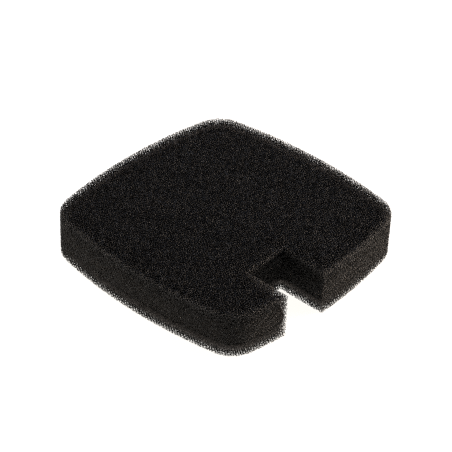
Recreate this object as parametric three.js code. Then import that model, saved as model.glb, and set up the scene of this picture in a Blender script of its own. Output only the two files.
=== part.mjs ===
// A filter foam pad for a pond or aquarium filter: one flat block of coarse open-cell
// polyurethane foam, cut out of sheet, with a square notch in its front side that clears the
// filter's riser pipe.
//
// Units are millimetres. The origin is the middle of the underside, +Z is up through the pad's
// thickness, and the notched side faces -Y.

import * as THREE from "three";

// ---- driving dimensions ----

const PAD_WIDTH = 160; // along X, over the crowns of the left and right sides
const PAD_DEPTH = 160; // along Y, over the crowns of the front and back sides
const PAD_THICKNESS = 30; // thickness of the foam sheet
const SIDE_BOW = 10.5; // how far the middle of each side stands out past its ends
const CORNER_RADIUS = 20; // outer corners, seen from above
const NOTCH_WIDTH = 29; // along X
const NOTCH_DEPTH = 31.5; // along Y, in from the crown of the front side
const NOTCH_CENTRE_X = -20; // the notch sits left of the pad's centre line
const ARC_TOLERANCE = 0.02; // furthest that a straight facet may lie inside its arc

const FOAM_COLOUR = 0x232120; // black foam, a little warm
const FOAM_ROUGHNESS = 0.85;

// ---- the outline, seen from above ----

/** The circle of a bowed side: its crown is at `crown`, and it falls `bow` over half `span`. */
function sideCircle(crown, outward, span, bow) {
  const halfSpan = span / 2;
  const radius = (halfSpan * halfSpan + bow * bow) / (2 * bow);
  return { centre: crown.clone().addScaledVector(outward, -radius), radius };
}

/** The centre of a corner fillet that touches both side circles from inside, nearest `corner`. */
function filletCentre(sideA, sideB, radius, corner) {
  const reachA = sideA.radius - radius;
  const reachB = sideB.radius - radius;
  const between = sideB.centre.clone().sub(sideA.centre);
  const distance = between.length();
  const along = (reachA * reachA - reachB * reachB + distance * distance) / (2 * distance);
  const across = Math.sqrt(reachA * reachA - along * along);
  const unit = between.divideScalar(distance);
  const middle = sideA.centre.clone().addScaledVector(unit, along);
  const normal = new THREE.Vector2(-unit.y, unit.x);
  const first = middle.clone().addScaledVector(normal, across);
  const second = middle.clone().addScaledVector(normal, -across);
  return first.distanceTo(corner) < second.distanceTo(corner) ? first : second;
}

/** The point where a fillet runs into a side circle: both centres and the point are in line. */
function tangentPoint(side, centre) {
  const direction = centre.clone().sub(side.centre).normalize();
  return side.centre.clone().addScaledVector(direction, side.radius);
}

/** The front side's Y at a given X: the lower half of its circle. */
function heightOnFront(side, x) {
  const offset = x - side.centre.x;
  return side.centre.y - Math.sqrt(side.radius * side.radius - offset * offset);
}

/** Points of the anticlockwise arc from `start` to `end`, without its last point, evenly spaced. */
function arcPoints(centre, radius, start, end) {
  const startAngle = start.clone().sub(centre).angle();
  const endAngle = end.clone().sub(centre).angle();
  const turn = (endAngle - startAngle + 2 * Math.PI) % (2 * Math.PI);
  const widestStep = 2 * Math.acos(1 - ARC_TOLERANCE / radius);
  const steps = 2 * Math.ceil(turn / widestStep / 2); // even, so a whole bowed side keeps its crown
  return Array.from({ length: steps }, (_, i) => {
    const angle = startAngle + (turn * i) / steps;
    return new THREE.Vector2(Math.cos(angle), Math.sin(angle)).multiplyScalar(radius).add(centre);
  });
}

/** The pad's outline, anticlockwise: four bowed sides, four round corners and the notch. */
function padOutline() {
  const halfWidth = PAD_WIDTH / 2;
  const halfDepth = PAD_DEPTH / 2;
  const sides = [
    { out: new THREE.Vector2(0, -1), reach: halfDepth, span: PAD_WIDTH },
    { out: new THREE.Vector2(1, 0), reach: halfWidth, span: PAD_DEPTH },
    { out: new THREE.Vector2(0, 1), reach: halfDepth, span: PAD_WIDTH },
    { out: new THREE.Vector2(-1, 0), reach: halfWidth, span: PAD_DEPTH },
  ].map(({ out, reach, span }) =>
    sideCircle(out.clone().multiplyScalar(reach), out, span, SIDE_BOW),
  );
  const corners = [
    new THREE.Vector2(halfWidth, -halfDepth),
    new THREE.Vector2(halfWidth, halfDepth),
    new THREE.Vector2(-halfWidth, halfDepth),
    new THREE.Vector2(-halfWidth, -halfDepth),
  ];
  const fillets = corners.map((corner, i) => {
    const next = sides[(i + 1) % sides.length];
    const centre = filletCentre(sides[i], next, CORNER_RADIUS, corner);
    return {
      centre,
      start: tangentPoint(sides[i], centre),
      end: tangentPoint(next, centre),
    };
  });

  const [front, ...others] = sides;
  const notchLeft = NOTCH_CENTRE_X - NOTCH_WIDTH / 2;
  const notchRight = NOTCH_CENTRE_X + NOTCH_WIDTH / 2;
  const notchFloor = -halfDepth + NOTCH_DEPTH;
  const mouthLeft = new THREE.Vector2(notchLeft, heightOnFront(front, notchLeft));
  const mouthRight = new THREE.Vector2(notchRight, heightOnFront(front, notchRight));
  const points = [
    ...arcPoints(front.centre, front.radius, fillets[3].end, mouthLeft),
    mouthLeft,
    new THREE.Vector2(notchLeft, notchFloor),
    new THREE.Vector2(notchRight, notchFloor),
    ...arcPoints(front.centre, front.radius, mouthRight, fillets[0].start),
    ...arcPoints(fillets[0].centre, CORNER_RADIUS, fillets[0].start, fillets[0].end),
  ];
  others.forEach((side, i) => {
    const fillet = fillets[i + 1];
    points.push(
      ...arcPoints(side.centre, side.radius, fillets[i].end, fillet.start),
      ...arcPoints(fillet.centre, CORNER_RADIUS, fillet.start, fillet.end),
    );
  });
  return points;
}

// ---- the pad ----

/** The foam block: the outline carried straight up through the sheet's thickness. */
function foamPad() {
  const geometry = new THREE.ExtrudeGeometry(new THREE.Shape(padOutline()), {
    depth: PAD_THICKNESS,
    bevelEnabled: false,
  });
  const material = new THREE.MeshStandardMaterial({
    color: FOAM_COLOUR,
    roughness: FOAM_ROUGHNESS,
    metalness: 0,
  });
  const mesh = new THREE.Mesh(geometry, material);
  mesh.name = "foam_pad";
  return mesh;
}

const spongeFilter = new THREE.Group();
spongeFilter.add(foamPad());

export default spongeFilter;
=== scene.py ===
"""A coarse black filter foam pad on a white table: its looks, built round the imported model.

The pad is one block of reticulated polyurethane foam. Its skin is a real network of strands, cell
by cell. Below that the foam is an even haze that light fades in, round a dark core.
"""

import math

import bpy
import numpy as np
from mathutils import Matrix, Vector


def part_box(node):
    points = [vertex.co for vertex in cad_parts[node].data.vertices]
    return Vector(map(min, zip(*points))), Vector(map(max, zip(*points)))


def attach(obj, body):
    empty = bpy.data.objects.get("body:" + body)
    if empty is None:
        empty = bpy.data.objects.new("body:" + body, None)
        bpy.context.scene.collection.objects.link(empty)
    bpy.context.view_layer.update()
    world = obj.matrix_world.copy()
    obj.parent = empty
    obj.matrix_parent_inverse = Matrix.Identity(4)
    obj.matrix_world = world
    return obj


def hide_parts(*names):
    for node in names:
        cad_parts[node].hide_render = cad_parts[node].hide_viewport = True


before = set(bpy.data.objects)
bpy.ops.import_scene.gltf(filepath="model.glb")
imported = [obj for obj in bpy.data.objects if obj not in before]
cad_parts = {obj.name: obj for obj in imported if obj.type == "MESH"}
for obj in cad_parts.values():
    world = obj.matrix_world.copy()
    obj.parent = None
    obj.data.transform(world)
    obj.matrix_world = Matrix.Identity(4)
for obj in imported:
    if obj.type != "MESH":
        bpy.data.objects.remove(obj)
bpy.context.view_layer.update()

MM = 0.001
NODE = "foam_pad"
BODY = "root"

# ---- the pad's outline, as in the CAD model, in metres ----

pad_low, pad_high = (np.array(corner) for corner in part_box(NODE))
WIDTH, DEPTH, THICKNESS = pad_high - pad_low
SIDE_BOW = 10.5 * MM
CORNER_RADIUS = 20 * MM
NOTCH_WIDTH = 29 * MM
NOTCH_DEPTH = 31.5 * MM
NOTCH_CENTRE_X = -20 * MM
NOTCH_LEFT = NOTCH_CENTRE_X - NOTCH_WIDTH / 2
NOTCH_RIGHT = NOTCH_CENTRE_X + NOTCH_WIDTH / 2
NOTCH_FLOOR = pad_low[1] + NOTCH_DEPTH

# ---- the foam ----

CELL = 1.85 * MM  # side of the lattice cube that holds two cells
LATTICE_TURN = (0.31, 0.47, 0.83)  # radians about X, Y and Z, out of line with the pad
SITE_JITTER = 0.23  # how far a cell's centre strays from its lattice place, as a share of CELL
MOST_JITTER = 0.6  # and no further than this
STRAND_RADIUS = 0.152 * MM  # from a strand's middle to its edges, before each joint's own share
RADIUS_SPREAD = 0.08  # how much strand joints differ in thickness
WARP_WAVES = 8
WARP_PUSH = 0.12 * CELL  # how far each wave pushes a cell
WARP_LENGTHS = (7 * CELL, 14 * CELL)  # the shortest and longest wave

PAST_SURFACE = 1.2 * CELL  # joints this far outside the pad are kept, to end cut strands on
PAST_FLOOR = 0.8 * CELL  # and this far below the modelled strands
HOLD_DEPTH = 0.5 * CELL  # joints less than this above the floor of the strands hold to the core
HOLD_STEPS = 25  # how many strands a crumb may hang from the core by
SHORTEST_CUT = 0.02  # least share of a cut strand that is left
SKIN_TOP = 1.1 * MM  # how deep the modelled strands go under the top and the sides
SKIN_UNDER = 0.2 * MM  # the same under the pad, where it rests
ROUNDING_TOP = 7 * MM  # radius round the upper rim of the surface down to which strands go
ROUNDING_UNDER = 6 * MM  # the same round the lower rim
HAZE_DEPTH = 0.2 * MM  # least foam between the modelled strands and the dark core
CORE_ROUNDING = 13.5 * MM  # the dark core's own radius round both rims
HAZE_PER_METRE = 320  # how fast light fades in the foam: by a factor e in 1/320 m
HAZE_RETURN = 0.035  # how much of its surface the haze gives to strands that send light back
RIM_WEAR = 1.6 * MM  # radius to which the pad's rims have crumbled
RIM_HIGHLIGHT_BAND = 1.5 * MM  # how far from the upper rim the painted highlight reaches: paler strands that stand in for rim light

PIECE_TRIANGLES = 185000  # most triangles in one piece
TRIANGLES_PER_JOINT = 15.5  # two strands of six triangles each, and the ends of cut ones
SEED = 7


def side_circles():
    """Centre and radius of the four bowed sides: front, right, back, left. A side that falls by
    the bow over half its span has radius (half span squared + bow squared) / (2 bow)."""
    circles = []
    for out, reach, span in (
        ((0, -1), DEPTH / 2, WIDTH),
        ((1, 0), WIDTH / 2, DEPTH),
        ((0, 1), DEPTH / 2, WIDTH),
        ((-1, 0), WIDTH / 2, DEPTH),
    ):
        half = span / 2
        radius = (half * half + SIDE_BOW * SIDE_BOW) / (2 * SIDE_BOW)
        circles.append((np.array(out) * (reach - radius), radius))
    return circles


def corner_centres(sides):
    """Centres of the four corner fillets: where two sides' circles, shrunk by the corner radius,
    cross nearest the corner."""
    centres = []
    for i, corner in enumerate(((1, -1), (1, 1), (-1, 1), (-1, -1))):
        (centre_a, radius_a), (centre_b, radius_b) = sides[i], sides[(i + 1) % 4]
        reach_a, reach_b = radius_a - CORNER_RADIUS, radius_b - CORNER_RADIUS
        between = centre_b - centre_a
        distance = np.hypot(*between)
        along = (reach_a**2 - reach_b**2 + distance**2) / (2 * distance)
        across = math.sqrt(reach_a**2 - along**2)
        unit = between / distance
        crossings = [
            centre_a + unit * along + sign * across * np.array((-unit[1], unit[0]))
            for sign in (1, -1)
        ]
        wanted = np.array(corner) * (WIDTH / 2, DEPTH / 2)
        centres.append(min(crossings, key=lambda point: np.hypot(*(point - wanted))))
    return centres


SIDES = side_circles()
CORNERS = corner_centres(SIDES)


def plan_distance(x, y):
    """Signed distance to the outline seen from above, negative inside the foam: the largest of the
    distances past the four side circles, with the fillet's own distance in each corner's sector,
    and then cut by the notch's box."""
    reach = np.full(x.shape, -np.inf)
    for centre, radius in SIDES:
        reach = np.maximum(reach, np.hypot(x - centre[0], y - centre[1]) - radius + CORNER_RADIUS)
    for i, corner in enumerate(CORNERS):
        first = corner - SIDES[i][0]
        second = corner - SIDES[(i + 1) % 4][0]
        dx, dy = x - corner[0], y - corner[1]
        inside = (first[0] * dy - first[1] * dx > 0) & (dx * second[1] - dy * second[0] > 0)
        reach = np.where(inside, np.hypot(dx, dy), reach)
    outline = reach - CORNER_RADIUS
    past_x = np.maximum(NOTCH_LEFT - x, x - NOTCH_RIGHT)
    past_y = y - NOTCH_FLOOR
    nearest = np.maximum(past_x, past_y)
    away = np.hypot(np.maximum(past_x, 0), np.maximum(past_y, 0))
    return np.maximum(outline, np.where(nearest > 0, -away, -nearest))


def rounded_distance(points, inset, under, rounding):
    """Signed distance to the pad shrunk by an inset at its top and sides and by another at its
    underside, its rims rounded by taking the length of the two overshoots past a further inset."""
    x, y, z = points.T
    side = plan_distance(x, y) + inset + rounding
    face = np.maximum(under - z, z - THICKNESS + inset) + rounding
    outside = np.hypot(np.maximum(side, 0), np.maximum(face, 0))
    return outside + np.minimum(np.maximum(side, face), 0) - rounding


def pad_distance(points):
    """Signed distance to the pad's surface."""
    return rounded_distance(points, 0, 0, RIM_WEAR)


def skin_floor_distance(points):
    """Signed distance to the surface down to which the strands are modelled."""
    rounding = np.where(points[:, 2] > THICKNESS / 2, ROUNDING_TOP, ROUNDING_UNDER)
    return rounded_distance(points, SKIN_TOP, SKIN_UNDER, rounding)


# The mask of the painted highlight along the upper rim.
def upper_rim_nearness(points):
    """1 on the pad's upper rim, falling with the distance d from it as exp(-(d / RIM_HIGHLIGHT_BAND)^2)."""
    x, y, z = points.T
    away = np.hypot(plan_distance(x, y), z - THICKNESS)
    return np.exp(-((away / RIM_HIGHLIGHT_BAND) ** 2))


def new_mesh(name, vertices, faces, material, uv=None):
    """A mesh object at the origin from arrays: vertices (n, 3) and triangles or quads (m, 3 or 4)."""
    mesh = bpy.data.meshes.new(name)
    corners = faces.shape[1]
    mesh.vertices.add(len(vertices))
    mesh.vertices.foreach_set("co", np.ascontiguousarray(vertices, np.float32).ravel())
    mesh.loops.add(faces.size)
    mesh.loops.foreach_set("vertex_index", np.ascontiguousarray(faces, np.int32).ravel())
    mesh.polygons.add(len(faces))
    mesh.polygons.foreach_set("loop_start", np.arange(0, faces.size, corners, dtype=np.int32))
    if uv is not None:
        layer = mesh.uv_layers.new(name="OFBake")
        layer.uv.foreach_set("vector", np.ascontiguousarray(uv[faces.ravel()], np.float32).ravel())
    mesh.update(calc_edges=True)
    mesh.materials.append(material)
    piece = bpy.data.objects.new(name, mesh)
    bpy.context.scene.collection.objects.link(piece)
    return piece


# ---- the strand network ----


def warped(points, rng):
    """Lattice places pushed about by slow waves, so that no straight rows of cells are left. Each
    wave pushes at right angles to its own direction, which bends rows but squeezes nothing."""
    out = points.copy()
    for _ in range(WARP_WAVES):
        direction, push = rng.normal(size=(2, 3))
        direction /= np.linalg.norm(direction)
        push -= direction * (push @ direction)
        push *= WARP_PUSH / np.linalg.norm(push)
        turn = points @ direction * (2 * math.pi / rng.uniform(*WARP_LENGTHS))
        out += np.sin(turn + rng.uniform(0, 2 * math.pi))[:, None] * push
    return out


def foam_joints(rng):
    """The strands' joints. Cell centres stand on a body-centred cubic lattice, turned out of line
    with the pad, warped and jittered. Its four-cornered gaps are each two neighbouring corner
    sites and two neighbouring centre sites round the edge between them. A joint is the mean of
    such four sites, as in a foam where four strands meet at every joint.

    Returns the joints near the skin, and for each its four sites' numbers and places."""
    turn = Matrix.Identity(3)
    for angle, axis in zip(LATTICE_TURN, "XYZ"):
        turn = turn @ Matrix.Rotation(angle, 3, axis)
    turn = np.array(turn)
    margin = 3 * CELL
    corners = np.array([
        (x, y, z)
        for x in (pad_low[0] - margin, pad_high[0] + margin)
        for y in (pad_low[1] - margin, pad_high[1] + margin)
        for z in (pad_low[2] - margin, pad_high[2] + margin)
    ])
    turned = corners @ turn
    first = np.floor(turned.min(0) / CELL).astype(int)
    count = np.ceil(turned.max(0) / CELL).astype(int) - first + 1
    index = np.indices(count).reshape(3, -1).T
    strides = np.array((count[1] * count[2], count[2], 1))
    total = len(index)
    sites = np.concatenate([index + first, index + first + 0.5]) * CELL @ turn.T
    sites = warped(sites, rng)
    most = MOST_JITTER * CELL
    sites += rng.normal(0, SITE_JITTER * CELL, sites.shape).clip(-most, most)

    middle = ((index > 0) & (index < count - 1)).all(1)
    rough = (index[middle] + first) * CELL @ turn.T
    near = (rough > pad_low - margin).all(1) & (rough < pad_high + margin).all(1)
    base = np.flatnonzero(middle)[near]
    joints, members = [], []
    for axis in range(3):
        side_a, side_b = (strides[other] for other in range(3) if other != axis)
        ring = (0, -side_a, -side_a - side_b, -side_b)
        for q in range(4):
            four = np.stack([
                base,
                base + strides[axis],
                base + ring[q] + total,
                base + ring[(q + 1) % 4] + total,
            ], 1)
            places = sites[four].mean(1)
            wanted = pad_distance(places) < PAST_SURFACE
            wanted[wanted] = skin_floor_distance(places[wanted]) > -PAST_FLOOR
            joints.append(places[wanted])
            members.append(four[wanted])
    members = np.concatenate(members)
    return np.concatenate(joints), members, sites[members]


def foam_strands(members):
    """Pairs of joints that share three of their four sites, which is where a strand runs. Returns
    the two joints and, for each, the places that the three shared sites have among its four,
    in the same order of sites."""
    slots = np.array([[1, 2, 3], [0, 2, 3], [0, 1, 3], [0, 1, 2]])
    shared = members[:, slots]
    order = np.argsort(shared, axis=2)
    shared = np.take_along_axis(shared, order, 2).reshape(-1, 3).astype(np.int64)
    picked = np.take_along_axis(np.broadcast_to(slots, order.shape), order, 2).reshape(-1, 3)
    span = shared.max() + 1
    key = (shared[:, 0] * span + shared[:, 1]) * span + shared[:, 2]
    rank = np.argsort(key, kind="stable")
    same = np.flatnonzero(key[rank][1:] == key[rank][:-1])
    a, b = rank[same], rank[same + 1]
    return a // 4, b // 4, picked[a], picked[b]


def attached(keep, a, b, depth):
    """Joints that hang together with the core: crumbs cut loose at the surface are dropped."""
    held = keep & (depth < HOLD_DEPTH)
    both = keep[a] & keep[b]
    ends = np.concatenate([a[both], b[both]])
    others = np.concatenate([b[both], a[both]])
    for _ in range(HOLD_STEPS):
        held |= np.bincount(ends, held[others], len(held)) > 0
    return held


def strand_pieces(material):
    """The skin's strands as closed meshes. Each joint is a small tetrahedron whose corners point
    at its four cells, and each strand is a three-sided prism between two joints' facing
    triangles. A strand that the blade cut ends at the pad's surface with a flat end."""
    rng = np.random.default_rng(SEED)
    joints, members, sites = foam_joints(rng)
    a, b, slots_a, slots_b = foam_strands(members)
    out = pad_distance(joints)
    deep = skin_floor_distance(joints)
    keep = attached((out < 0) & (deep > 0), a, b, deep)

    swap = ~keep[a] & keep[b]
    a, b = np.where(swap, b, a), np.where(swap, a, b)
    slots_a, slots_b = (
        np.where(swap[:, None], slots_b, slots_a),
        np.where(swap[:, None], slots_a, slots_b),
    )
    used = keep[a]
    a, b, slots_a, slots_b = a[used], b[used], slots_a[used], slots_b[used]

    radius = STRAND_RADIUS * (1 + RADIUS_SPREAD * rng.uniform(-1, 1, len(joints)))
    toward = sites - joints[:, None]
    toward /= np.linalg.norm(toward, axis=2, keepdims=True)
    hubs = joints[:, None] + toward * radius[:, None, None]

    start = hubs[a[:, None], slots_a]
    end = hubs[b[:, None], slots_b]
    cut = out[b] > 0
    share = np.where(cut, out[a] / np.minimum(out[a] - out[b], -1e-9), 1.0).clip(SHORTEST_CUT, 1)
    end = start + (end - start) * share[:, None, None]
    twist = np.cross(start[:, 1] - start[:, 0], start[:, 2] - start[:, 0])
    flip = (twist * (joints[b] - joints[a])).sum(1) < 0

    names, of_joint = share_out(joints, keep)
    pieces = []
    for number, name in enumerate(names):
        chosen = keep & (of_joint == number)
        vertices, faces = one_piece(chosen, a, b, slots_a, slots_b, hubs, end, flip)
        uv = bake_places(vertices, name)
        piece = new_mesh(name, vertices, faces, material, uv)
        # The rim attribute carries the mask of the painted highlight along the upper rim.
        rim = piece.data.attributes.new("rim", "FLOAT", "POINT")
        rim.data.foreach_set("value", upper_rim_nearness(vertices).astype(np.float32))
        pieces.append(piece)
    return pieces


def share_out(joints, keep):
    """Shares the joints out among pieces small enough for one file each: those nearest the top,
    the sides and the underside, each zone cut into equal sectors round the pad. Returns the
    pieces' names and each joint's piece number."""
    side = -plan_distance(joints[:, 0], joints[:, 1])
    top = THICKNESS - joints[:, 2]
    under = joints[:, 2]
    zone = np.argmin(np.stack([top, side, under]), 0)
    angle = np.arctan2(joints[:, 1], joints[:, 0])
    of_joint = np.full(len(joints), -1)
    names = []
    for number, zone_name in enumerate(("top", "side", "under")):
        members = np.flatnonzero(keep & (zone == number))
        parts = math.ceil(len(members) * TRIANGLES_PER_JOINT / PIECE_TRIANGLES)
        ordered = members[np.argsort(angle[members], kind="stable")]
        for part, chunk in enumerate(np.array_split(ordered, parts)):
            of_joint[chunk] = len(names)
            names.append(f"foam_{zone_name}_{part + 1}")
    return names, of_joint


def one_piece(chosen, a, b, slots_a, slots_b, hubs, end, flip):
    """Vertices and triangles of the strands that begin at the chosen joints. A strand to a joint
    of another piece, or to one that was cut away, gets its own end face, and a chosen joint's
    side that no strand of this piece covers gets one too."""
    local = np.cumsum(chosen) - 1
    vertices = [hubs[chosen].reshape(-1, 3)]
    count = len(vertices[0])
    mine = chosen[a]
    loose = mine & ~chosen[b]

    first = (4 * local[a])[:, None] + slots_a
    last = (4 * local[b])[:, None] + slots_b
    free = np.flatnonzero(loose)
    last[free] = count + 3 * np.arange(len(free))[:, None] + np.arange(3)
    vertices.append(end[free].reshape(-1, 3))

    ring = np.where(flip[:, None], [0, 2, 1], [0, 1, 2])
    first = np.take_along_axis(first, ring, 1)
    last = np.take_along_axis(last, ring, 1)
    faces = []
    for one, two in ((0, 1), (1, 2), (2, 0)):
        faces.append(np.stack([first[mine, one], first[mine, two], last[mine, two]], 1))
        faces.append(np.stack([first[mine, one], last[mine, two], last[mine, one]], 1))
    faces.append(last[free])
    arriving = ~chosen[a] & chosen[b]
    faces.append(last[arriving][:, ::-1])
    return np.concatenate(vertices), np.concatenate(faces)


def bake_places(vertices, name):
    """A map by place: from above for the top and the underside, round the pad for the sides."""
    if "side" in name:
        angle = np.arctan2(vertices[:, 1], vertices[:, 0])
        flat = np.stack([angle, vertices[:, 2]], 1)
    else:
        flat = vertices[:, :2]
    low, high = flat.min(0), flat.max(0)
    return 0.01 + 0.98 * (flat - low) / (high - low)


# ---- the haze and the dark core ----

SIDE_STEPS, CORNER_STEPS, NOTCH_STEPS = 36, 10, 6  # faces round each arc of the outline
LEFT_STEPS, RIGHT_STEPS = 16, 24  # the same along the front, on either side of the notch
RIM_STEPS = 8  # rings over each rounded rim


def arc(centre, radius, start, end, count, clockwise=False):
    """Points of an arc from one point's direction to another's, without the last."""
    centre = np.array(centre)
    from_angle = math.atan2(*(start - centre)[::-1])
    turn = (math.atan2(*(end - centre)[::-1]) - from_angle) % (2 * math.pi)
    if clockwise:
        turn -= 2 * math.pi
    angle = from_angle + turn * np.arange(count) / count
    return centre + radius * np.stack([np.cos(angle), np.sin(angle)], 1)


def inset_outline(inset):
    """The outline shrunk by an inset: each side's circle and fillet lose that much radius, and the
    notch grows by it, its inner corners swept round as quarter circles."""
    def on_front(x):
        centre, radius = SIDES[0]
        return np.array((x, centre[1] - math.sqrt((radius - inset) ** 2 - (x - centre[0]) ** 2)))

    def meets(side, corner):
        centre, radius = SIDES[side]
        way = CORNERS[corner] - centre
        return centre + way / np.hypot(*way) * (radius - inset)

    left, right = NOTCH_LEFT - inset, NOTCH_RIGHT + inset
    inner_left = np.array((NOTCH_LEFT, NOTCH_FLOOR))
    inner_right = np.array((NOTCH_RIGHT, NOTCH_FLOOR))
    parts = [
        arc(SIDES[0][0], SIDES[0][1] - inset, meets(0, 3), on_front(left), LEFT_STEPS),
        on_front(left)[None],
        arc(inner_left, inset, inner_left + (-1, 0), inner_left + (0, 1), NOTCH_STEPS,
            clockwise=True),
        inner_left[None] + (0, inset),
        arc(inner_right, inset, inner_right + (0, 1), inner_right + (1, 0), NOTCH_STEPS,
            clockwise=True),
        inner_right[None] + (inset, 0),
        arc(SIDES[0][0], SIDES[0][1] - inset, on_front(right), meets(0, 0), RIGHT_STEPS),
        arc(CORNERS[0], CORNER_RADIUS - inset, meets(0, 0), meets(1, 0), CORNER_STEPS),
    ]
    for side in (1, 2, 3):
        parts.append(arc(
            SIDES[side][0], SIDES[side][1] - inset, meets(side, side - 1), meets(side, side),
            SIDE_STEPS,
        ))
        parts.append(arc(
            CORNERS[side], CORNER_RADIUS - inset, meets(side, side),
            meets((side + 1) % 4, side), CORNER_STEPS,
        ))
    return np.concatenate(parts)


def inner_block(name, inset, under, rounding_top, rounding_under, material):
    """A block inside the pad: inset outlines stacked up a profile with quarter-round rims, closed
    by two flat faces."""
    quarter = np.linspace(0, math.pi / 2, RIM_STEPS)
    insets = inset + np.concatenate([
        rounding_under * (1 - np.cos(quarter[::-1])),
        rounding_top * (1 - np.cos(quarter)),
    ])
    heights = np.concatenate([
        under + rounding_under * (1 - np.sin(quarter[::-1])),
        THICKNESS - inset - rounding_top * (1 - np.sin(quarter)),
    ])
    rings = [np.column_stack([inset_outline(i), np.full(len(inset_outline(i)), z)])
             for i, z in zip(insets, heights)]
    size = len(rings[0])
    vertices = np.concatenate(rings)
    ring = np.arange(size)
    after = (ring + 1) % size
    faces = []
    for level in range(len(rings) - 1):
        low, high = level * size, (level + 1) * size
        quads = np.stack([low + ring, low + after, high + after, high + ring], 1)
        faces.extend(quads.tolist())
    faces.append((ring[::-1]).tolist())
    faces.append((ring + (len(rings) - 1) * size).tolist())
    mesh = bpy.data.meshes.new(name)
    mesh.from_pydata(vertices.tolist(), [], faces)
    mesh.materials.append(material)
    piece = bpy.data.objects.new(name, mesh)
    bpy.context.scene.collection.objects.link(piece)
    return piece


# ---- materials ----

CLOUD_SIZE = 22 * MM  # of the slow drift in how black the foam came out
GRAIN_SIZE = 0.5 * MM  # about a strand's length, so that each has its own grey
CLOUD_SHARE = 0.25


def linear(hex_colour, alpha=1.0):
    """An sRGB hex value as linear red, green, blue and alpha."""
    channels = [int(hex_colour[i:i + 2], 16) / 255 for i in (1, 3, 5)]
    return tuple(
        c / 12.92 if c <= 0.04045 else ((c + 0.055) / 1.055) ** 2.4 for c in channels
    ) + (alpha,)


def add_node(tree, kind, settings=None, **inputs):
    """Adds a node, with its settings, and sets or links its inputs by name."""
    node = tree.nodes.new(kind)
    for name, value in (settings or {}).items():
        setattr(node, name, value)
    for name, value in inputs.items():
        socket = node.inputs[name.replace("_", " ")]
        if isinstance(value, bpy.types.NodeSocket):
            tree.links.new(value, socket)
        else:
            socket.default_value = value
    return node


def new_material(name):
    """A named material with an empty node tree, and the tree."""
    material = bpy.data.materials.new(name)
    material.use_nodes = True
    material.node_tree.nodes.clear()
    return material, material.node_tree


def cut_polyurethane_strand():
    """Black reticulated polyurethane: an ester foam whose cell walls were burnt away, so only
    smooth triangular strands are left. To the eye: near black, each strand with a soft satin
    glint and no weave. Near the upper rim the strands carry a painted highlight: a paler colour
    that stands in for the light they catch from both the top and the side."""
    material, tree = new_material("reticulated_black_polyurethane")
    place = add_node(tree, "ShaderNodeTexCoord").outputs["Object"]
    cloud = add_node(tree, "ShaderNodeTexNoise", Vector=place, Scale=1 / CLOUD_SIZE, Detail=2.0)
    strand = add_node(tree, "ShaderNodeTexNoise", Vector=place, Scale=1 / GRAIN_SIZE, Detail=1.0)
    faint_cloud = add_node(tree, "ShaderNodeMath", {"operation": "MULTIPLY"})
    tree.links.new(cloud.outputs["Fac"], faint_cloud.inputs[0])
    faint_cloud.inputs[1].default_value = CLOUD_SHARE
    mixed = add_node(tree, "ShaderNodeMath", {"operation": "MULTIPLY_ADD"})
    tree.links.new(strand.outputs["Fac"], mixed.inputs[0])
    mixed.inputs[1].default_value = 1 - CLOUD_SHARE
    tree.links.new(faint_cloud.outputs[0], mixed.inputs[2])
    ramp = add_node(tree, "ShaderNodeValToRGB", Fac=mixed.outputs[0])
    ramp.color_ramp.elements[0].position = 0.3
    ramp.color_ramp.elements[0].color = linear("#181818")
    ramp.color_ramp.elements[1].position = 0.7
    ramp.color_ramp.elements[1].color = linear("#292828")
    rough = add_node(tree, "ShaderNodeMapRange", Value=strand.outputs["Fac"])
    rough.inputs["To Min"].default_value = 0.5
    rough.inputs["To Max"].default_value = 0.7
    # Painted highlight: strands near the upper rim are mixed towards pale grey #605d5a, standing in
    # for the light they catch from both the top and the side.
    rim = add_node(tree, "ShaderNodeAttribute", {"attribute_name": "rim"})
    rim_highlight = add_node(tree, "ShaderNodeMix", {"data_type": "RGBA"})
    tree.links.new(rim.outputs["Fac"], rim_highlight.inputs[0])
    tree.links.new(ramp.outputs["Color"], rim_highlight.inputs[6])
    rim_highlight.inputs[7].default_value = linear("#605d5a")
    shader = add_node(
        tree, "ShaderNodeBsdfPrincipled",
        Base_Color=rim_highlight.outputs[2], Roughness=rough.outputs["Result"], IOR=1.5,
        Specular_IOR_Level=0.5,
    )
    add_node(tree, "ShaderNodeOutputMaterial", Surface=shader.outputs[0])
    return material


def foam_depth():
    """The same foam deeper than light reaches. To the eye: almost black, with the faint pattern of
    cells one behind another."""
    material, tree = new_material("black_polyurethane_foam_depth")
    place = add_node(tree, "ShaderNodeTexCoord").outputs["Object"]
    cells = add_node(
        tree, "ShaderNodeTexVoronoi", {"feature": "DISTANCE_TO_EDGE"},
        Vector=place, Scale=1 / CELL,
    )
    ramp = add_node(tree, "ShaderNodeValToRGB", Fac=cells.outputs["Distance"])
    ramp.color_ramp.elements[0].position = 0.04
    ramp.color_ramp.elements[0].color = linear("#2e2c2a")
    ramp.color_ramp.elements[1].position = 0.2
    ramp.color_ramp.elements[1].color = linear("#1b1a19")
    shader = add_node(
        tree, "ShaderNodeBsdfPrincipled", Base_Color=ramp.outputs["Color"], Roughness=0.9,
    )
    shader.inputs["Specular IOR Level"].default_value = 0.1
    add_node(tree, "ShaderNodeOutputMaterial", Surface=shader.outputs[0])
    return material


def foam_haze():
    """The same foam between the strands and the dark: an even haze that takes a fixed share of
    light from each millimetre, a little less of the red, and sends a little back. To the eye:
    soft grey gaps between strands, and rims that go from white through warm grey to black."""
    material, tree = new_material("black_polyurethane_foam_haze")
    surface = add_node(
        tree, "ShaderNodeBsdfPrincipled",
        Base_Color=linear("#c2bbb3"), Roughness=1.0, Specular_IOR_Level=0.0, Alpha=HAZE_RETURN,
    )
    inside = add_node(
        tree, "ShaderNodeVolumeAbsorption", Color=(0.06, 0.02, 0.0, 1), Density=HAZE_PER_METRE
    )
    add_node(tree, "ShaderNodeOutputMaterial", Surface=surface.outputs[0], Volume=inside.outputs[0])
    return material


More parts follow.
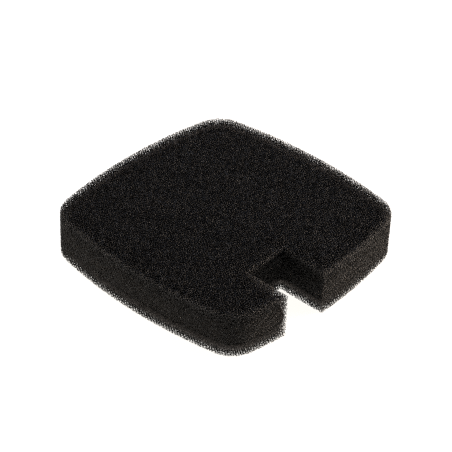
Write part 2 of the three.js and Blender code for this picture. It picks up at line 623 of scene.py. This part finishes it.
def lit_white_table():
    """A white acrylic light table: pale, and lit from within, so that hardly a shadow lies on it."""
    material, tree = new_material("lit_white_acrylic")
    shader = add_node(
        tree, "ShaderNodeBsdfPrincipled",
        Base_Color=linear("#e6e6e6"), Roughness=0.7,
        Emission_Color=linear("#fffcf6"), Emission_Strength=1.0,
    )
    add_node(tree, "ShaderNodeOutputMaterial", Surface=shader.outputs[0])
    return material


# ---- the object ----

strand_material = cut_polyurethane_strand()
pieces = strand_pieces(strand_material)
pieces.append(inner_block(
    "foam_haze", SKIN_TOP, SKIN_UNDER, ROUNDING_TOP, ROUNDING_UNDER, foam_haze()
))
pieces.append(inner_block(
    "foam_core", SKIN_TOP + HAZE_DEPTH, SKIN_UNDER + HAZE_DEPTH, CORE_ROUNDING, CORE_ROUNDING,
    foam_depth(),
))
for piece in pieces:
    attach(piece, BODY)
    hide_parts(NODE)

# ---- the room ----

TABLE_SIZE = 12.0
CAMERA_AZIMUTH, CAMERA_ELEVATION, CAMERA_ROLL = -49.02, 36.88, 2.43  # degrees
CAMERA_DISTANCE, CAMERA_RIGHT, CAMERA_UP = 6.942, 0.0044, 0.0892  # in pad widths
LENS, SENSOR = 148.4, 36  # millimetres
SAMPLE_SPREAD = 1.35  # softens the finest strands a little less than Blender's own 1.5
CEILING = 0.155  # how bright the room is overhead, where its white walls are 1
FRONT_WALL = 0.15  # the same behind the camera
WALL_LIGHT = 4.0  # how bright the brightest white is
LEFT_WALL, RIGHT_WALL = 0.65, 1.0  # shares of WALL_LIGHT


def table():
    """A flat square a little under the pad."""
    half = TABLE_SIZE / 2
    corners = np.array([(-half, -half, 0), (half, -half, 0), (half, half, 0), (-half, half, 0)])
    piece = new_mesh(
        "table", corners - (0, 0, 0.2 * MM), np.array([[0, 1, 2, 3]]), lit_white_table()
    )


def lamp(name, place, size, power, colour):
    """A soft lamp, so wide and so high, that faces the pad's middle."""
    data = bpy.data.lights.new(name, "AREA")
    data.shape = "RECTANGLE"
    data.size, data.size_y = size
    data.energy = power
    data.color = linear(colour)[:3]
    light = bpy.data.objects.new(name, data)
    light.location = place
    light.rotation_euler = (-Vector(place)).to_track_quat("-Z", "Y").to_euler()
    bpy.context.scene.collection.objects.link(light)


def studio_surround():
    """White walls, brightest to the camera's right, that darken upwards and on the camera's own
    side, so the light comes low and from all round the pad but for the front."""
    world = bpy.data.worlds.new("studio")
    world.use_nodes = True
    tree = world.node_tree
    tree.nodes.clear()
    way = add_node(tree, "ShaderNodeTexCoord").outputs["Generated"]

    def along(direction, stops):
        """A colour that depends on how far the way points along a direction, from -1 to 1. Each
        stop is that reach, a brightness and a tint."""
        reach = add_node(tree, "ShaderNodeVectorMath", {"operation": "DOT_PRODUCT"})
        tree.links.new(way, reach.inputs[0])
        reach.inputs[1].default_value = direction
        place = add_node(tree, "ShaderNodeMapRange", Value=reach.outputs["Value"])
        place.inputs["From Min"].default_value = -1
        ramp = add_node(tree, "ShaderNodeValToRGB", Fac=place.outputs["Result"])
        for _ in stops[2:]:
            ramp.color_ramp.elements.new(0.5)
        for element, (at, brightness, tint) in zip(ramp.color_ramp.elements, stops):
            element.position = (at + 1) / 2
            element.color = [brightness * channel for channel in linear(tint)[:3]] + [1]
        return ramp.outputs["Color"]

    turn = math.radians(CAMERA_AZIMUTH)
    height = along((0, 0, 1), ((0.08, 1, "#fff8ee"), (0.4, CEILING, "#dbe7ff")))
    front = along(
        (math.sin(turn), -math.cos(turn), 0),
        ((-0.45, 1, "#ffffff"), (0.05, FRONT_WALL, "#ffffff")),
    )
    side = along((math.cos(turn), math.sin(turn), 0), (
        (-1, LEFT_WALL, "#fff0e0"), (-0.3, 1 / WALL_LIGHT, "#ffffff"),
        (0.3, 1 / WALL_LIGHT, "#ffffff"), (1, RIGHT_WALL, "#ffeedc"),
    ))
    shade = add_node(tree, "ShaderNodeMix", {"data_type": "RGBA", "blend_type": "MULTIPLY"})
    shade.inputs[0].default_value = 1
    tree.links.new(height, shade.inputs[6])
    tree.links.new(front, shade.inputs[7])
    both = add_node(tree, "ShaderNodeMix", {"data_type": "RGBA", "blend_type": "MULTIPLY"})
    both.inputs[0].default_value = 1
    tree.links.new(shade.outputs[2], both.inputs[6])
    tree.links.new(side, both.inputs[7])
    background = add_node(
        tree, "ShaderNodeBackground", Color=both.outputs[2], Strength=WALL_LIGHT
    )
    add_node(tree, "ShaderNodeOutputWorld", Surface=background.outputs[0])
    bpy.context.scene.world = world


def camera():
    """A long lens that looks down at the front left corner, rolled a little."""
    azimuth, elevation, roll = (
        math.radians(angle) for angle in (CAMERA_AZIMUTH, CAMERA_ELEVATION, CAMERA_ROLL)
    )
    distance = CAMERA_DISTANCE * WIDTH
    back = Vector((
        math.sin(azimuth) * math.cos(elevation),
        -math.cos(azimuth) * math.cos(elevation),
        math.sin(elevation),
    ))
    right = Vector((math.cos(azimuth), math.sin(azimuth), 0))
    up = back.cross(right)
    right, up = (
        right * math.cos(roll) + up * math.sin(roll),
        up * math.cos(roll) - right * math.sin(roll),
    )
    data = bpy.data.cameras.new("camera")
    data.lens = LENS
    data.sensor_width = SENSOR
    data.clip_end = 60
    eye = bpy.data.objects.new("camera", data)
    place = right * (CAMERA_RIGHT * WIDTH) + up * (CAMERA_UP * WIDTH) + back * distance
    turn = Matrix((right, up, back)).transposed().to_4x4()
    eye.matrix_world = Matrix.Translation(place) @ turn
    bpy.context.scene.collection.objects.link(eye)
    bpy.context.scene.camera = eye


table()
studio_surround()
lamp("window_right", (1.35, -0.8, 0.2), (1.1, 0.3), 38, "#ffebd8")
lamp("window_left", (-0.85, 1.1, 0.25), (0.9, 0.4), 7.5, "#fff0e0")
lamp("softbox_back", (0.9, 1.3, 0.95), (0.6, 0.6), 8.5, "#dfe8ff")
camera()
bpy.context.scene.view_settings.view_transform = "Standard"
bpy.context.scene.cycles.use_denoising = False  # it would smudge the strands
bpy.context.scene.cycles.filter_width = SAMPLE_SPREAD
